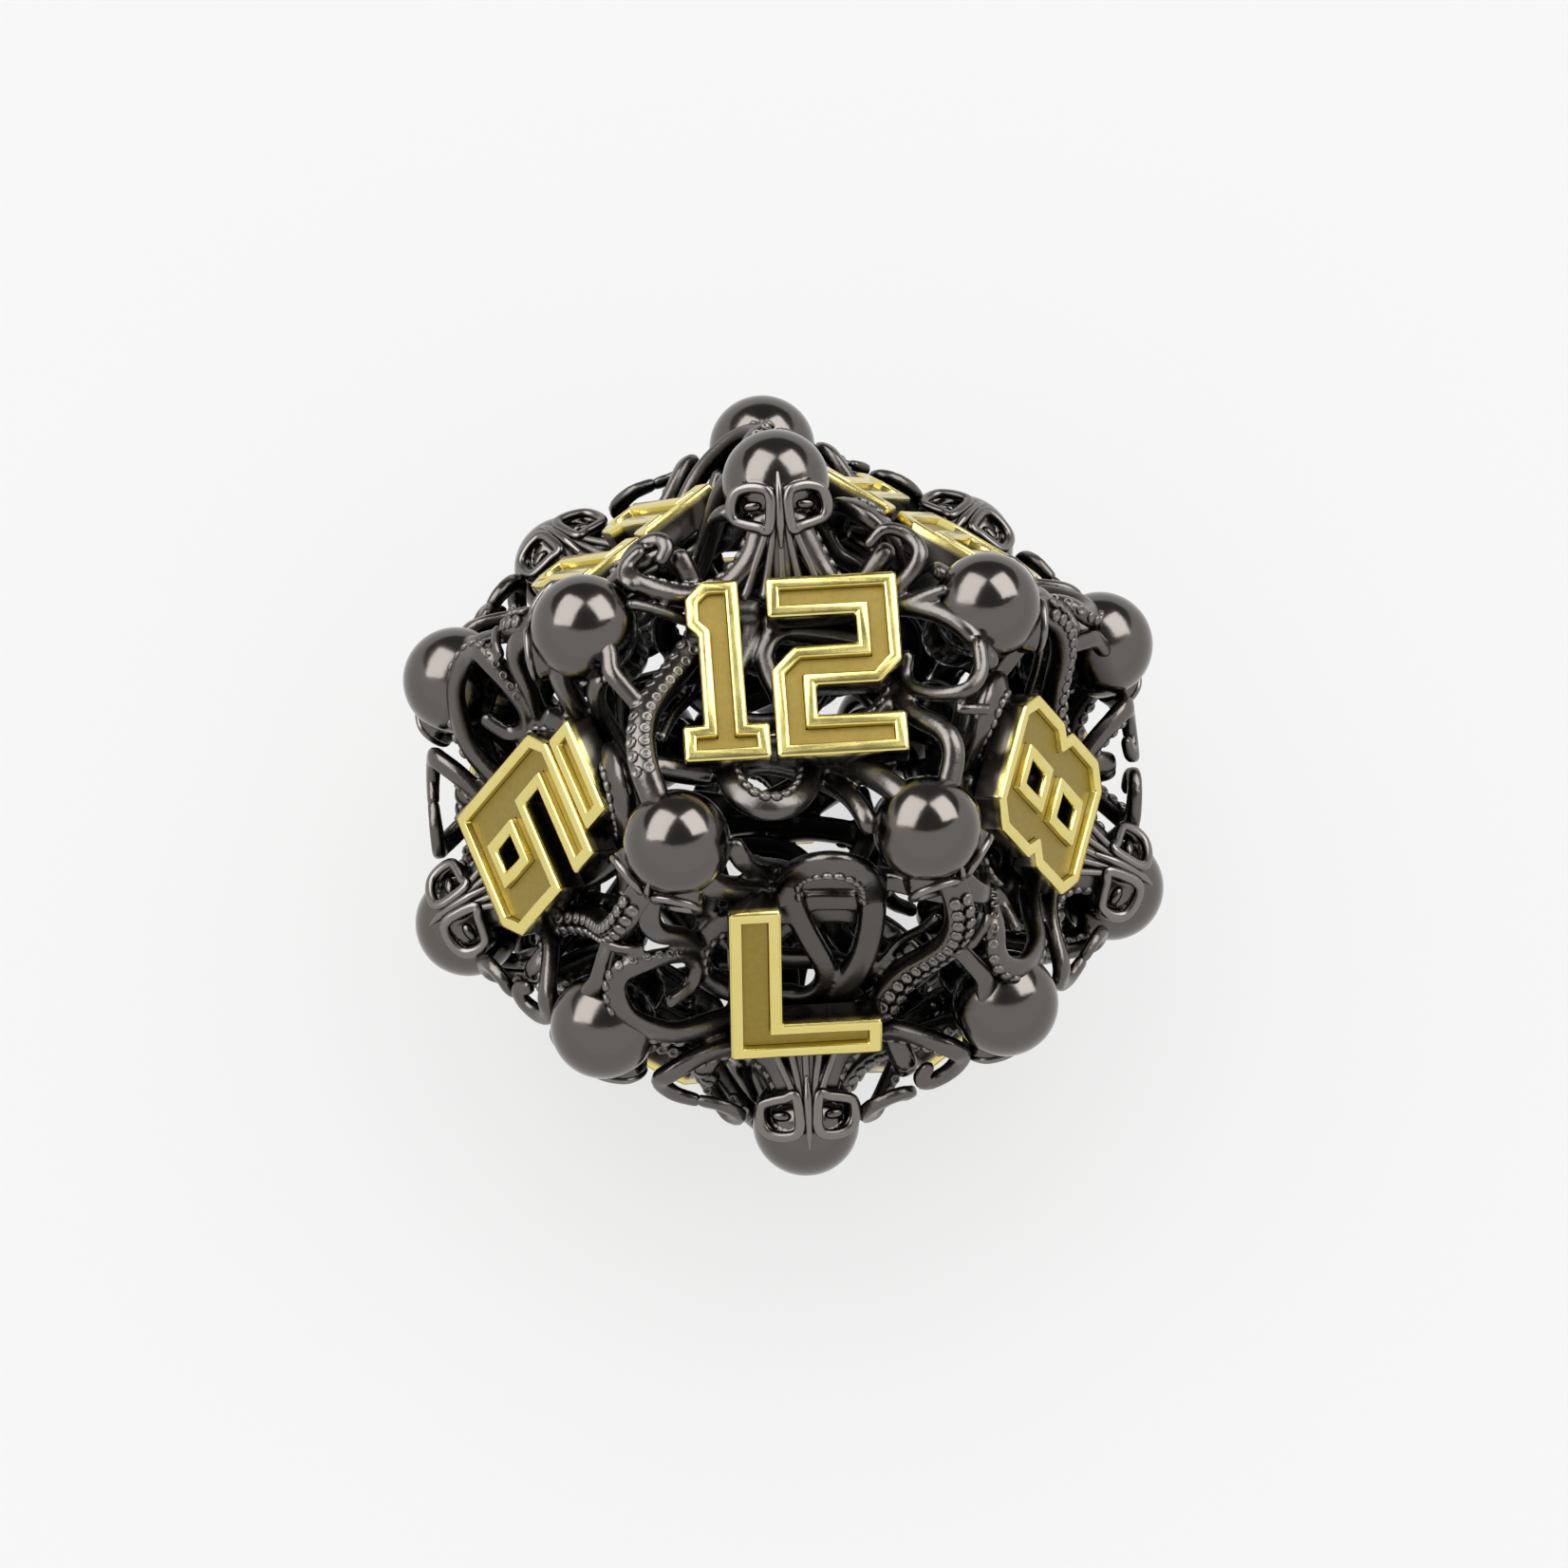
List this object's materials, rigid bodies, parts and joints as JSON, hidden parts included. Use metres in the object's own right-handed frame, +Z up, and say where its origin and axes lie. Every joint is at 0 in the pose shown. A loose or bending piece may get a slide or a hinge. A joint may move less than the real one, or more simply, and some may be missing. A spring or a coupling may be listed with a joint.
{
  "type": "twelve-sided gaming die",
  "caption": "Hollow openwork twelve-sided metal die: octopus heads at the corners, entwined arms as the cage, raised gold figures on the faces.",
  "frame": {"origin": "on the table, under the middle of the die, which rests on its face 1", "axes": "+Z up through face 12, -Y towards face 7, so face 12 reads upright from the -Y side"},
  "size_m": [0.0254, 0.0266, 0.0222],
  "materials": {
    "arm_metal": "cast zinc alloy with dark gunmetal plating, polished on the arms and dull in the recesses",
    "head_metal": "cast zinc alloy with dark gunmetal plating, polished domes",
    "figure_gold": "pale gold, flat satin rims",
    "figure_enamel": "dark gold enamel with fine metal flake"
  },
  "bodies": {
    "root": {"arms_01": "arm_metal", "arms_02": "arm_metal", "arms_03": "arm_metal", "arms_04": "arm_metal", "arms_05": "arm_metal", "arms_06": "arm_metal", "arms_07": "arm_metal", "arms_08": "arm_metal", "arms_09": "arm_metal", "arms_10": "arm_metal", "arms_11": "arm_metal", "arms_12": "arm_metal", "enamel_01": "figure_enamel", "enamel_02": "figure_enamel", "enamel_03": "figure_enamel", "enamel_04": "figure_enamel", "enamel_05": "figure_enamel", "enamel_06": "figure_enamel", "enamel_07": "figure_enamel", "enamel_08": "figure_enamel", "enamel_09": "figure_enamel", "enamel_10": "figure_enamel", "enamel_11": "figure_enamel", "enamel_12": "figure_enamel", "head_01_02_03": "head_metal", "head_01_02_04": "head_metal", "head_01_03_05": "head_metal", "head_01_04_06": "head_metal", "head_01_05_06": "head_metal", "head_02_03_07": "head_metal", "head_02_04_08": "head_metal", "head_02_07_08": "head_metal", "head_03_05_09": "head_metal", "head_03_07_09": "head_metal", "head_04_06_10": "head_metal", "head_04_08_10": "head_metal", "head_05_06_11": "head_metal", "head_05_09_11": "head_metal", "head_06_10_11": "head_metal", "head_07_08_12": "head_metal", "head_07_09_12": "head_metal", "head_08_10_12": "head_metal", "head_09_11_12": "head_metal", "head_10_11_12": "head_metal", "numeral_01": "figure_gold", "numeral_02": "figure_gold", "numeral_03": "figure_gold", "numeral_04": "figure_gold", "numeral_05": "figure_gold", "numeral_06": "figure_gold", "numeral_07": "figure_gold", "numeral_08": "figure_gold", "numeral_09": "figure_gold", "numeral_10": "figure_gold", "numeral_11": "figure_gold", "numeral_12": "figure_gold"}
  },
  "joints": []
}
